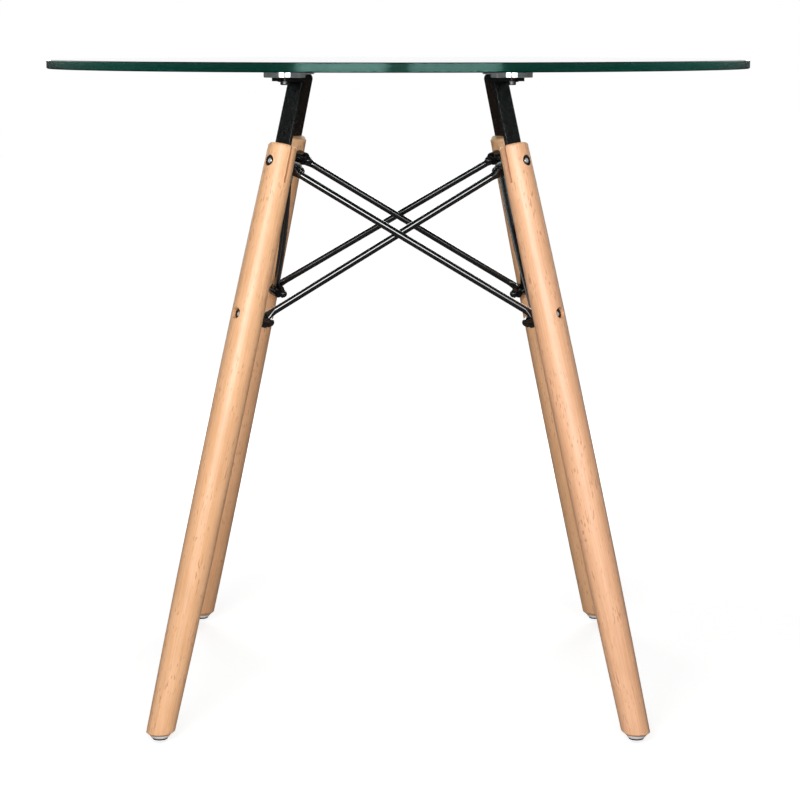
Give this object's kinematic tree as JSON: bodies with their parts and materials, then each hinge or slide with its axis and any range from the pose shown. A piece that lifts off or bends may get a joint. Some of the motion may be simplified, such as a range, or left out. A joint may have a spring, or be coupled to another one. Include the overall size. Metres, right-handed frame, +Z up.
{
  "type": "round glass-top table",
  "caption": "Round glass-top bistro table on splayed turned wooden legs, with bent steel brackets, bonded metal discs and crossed bracing rods with flattened eyes.",
  "frame": {"origin": "on the floor, at the middle of the four feet and under the middle of the glass", "axes": "+Z up; -Y towards the side seen in the picture; legs stand on the diagonals"},
  "size_m": [0.7999, 0.8, 0.728],
  "materials": {
    "glass": "clear float glass with a polished edge",
    "disc_aluminium": "turned and brushed",
    "black_steel": "semi-gloss black powder coat",
    "black_nut": "gloss black",
    "beech": "clear satin lacquer",
    "bright_steel": "zinc-plated",
    "glide_plastic": "pale grey",
    "glide_sole": "matt black"
  },
  "bodies": {
    "table": {"glass_top": "glass", "glass_disc_back_right": "disc_aluminium", "glass_disc_back_left": "disc_aluminium", "glass_disc_front_left": "disc_aluminium", "glass_disc_front_right": "disc_aluminium", "leg_bar_back_right": "black_steel", "leg_bar_back_left": "black_steel", "leg_bar_front_left": "black_steel", "leg_bar_front_right": "black_steel", "leg_back_right": "beech", "leg_back_left": "beech", "leg_front_left": "beech", "leg_front_right": "beech", "outer_rod_back": "black_steel", "outer_rod_left": "black_steel", "outer_rod_front": "black_steel", "outer_rod_right": "black_steel", "inner_rod_back": "black_steel", "inner_rod_left": "black_steel", "inner_rod_front": "black_steel", "inner_rod_right": "black_steel", "disc_screws": "bright_steel", "disc_washers": "bright_steel", "upper_studs": "bright_steel", "lower_studs": "bright_steel", "upper_round_nuts": "black_steel", "lower_round_nuts": "black_steel", "upper_brace_washers": "black_steel", "lower_brace_washers": "black_steel", "upper_acorn_nuts": "black_nut", "lower_acorn_nuts": "black_nut", "leg_inserts": "bright_steel"},
    "glide_back_right": {"glide_cup_back_right": "glide_plastic", "glide_sole_back_right": "glide_sole", "glide_stem_back_right": "bright_steel"},
    "glide_back_left": {"glide_cup_back_left": "glide_plastic", "glide_sole_back_left": "glide_sole", "glide_stem_back_left": "bright_steel"},
    "glide_front_left": {"glide_cup_front_left": "glide_plastic", "glide_sole_front_left": "glide_sole", "glide_stem_front_left": "bright_steel"},
    "glide_front_right": {"glide_cup_front_right": "glide_plastic", "glide_sole_front_right": "glide_sole", "glide_stem_front_right": "bright_steel"}
  },
  "joints": [
    {"name": "glide_back_right_screw", "type": "slide", "parent": "table", "child": "glide_back_right", "axis": [0, 0, -1], "range_m": [0, 0.006]},
    {"name": "glide_back_left_screw", "type": "slide", "parent": "table", "child": "glide_back_left", "axis": [0, 0, -1], "range_m": [0, 0.006]},
    {"name": "glide_front_left_screw", "type": "slide", "parent": "table", "child": "glide_front_left", "axis": [0, 0, -1], "range_m": [0, 0.006]},
    {"name": "glide_front_right_screw", "type": "slide", "parent": "table", "child": "glide_front_right", "axis": [0, 0, -1], "range_m": [0, 0.006]}
  ]
}
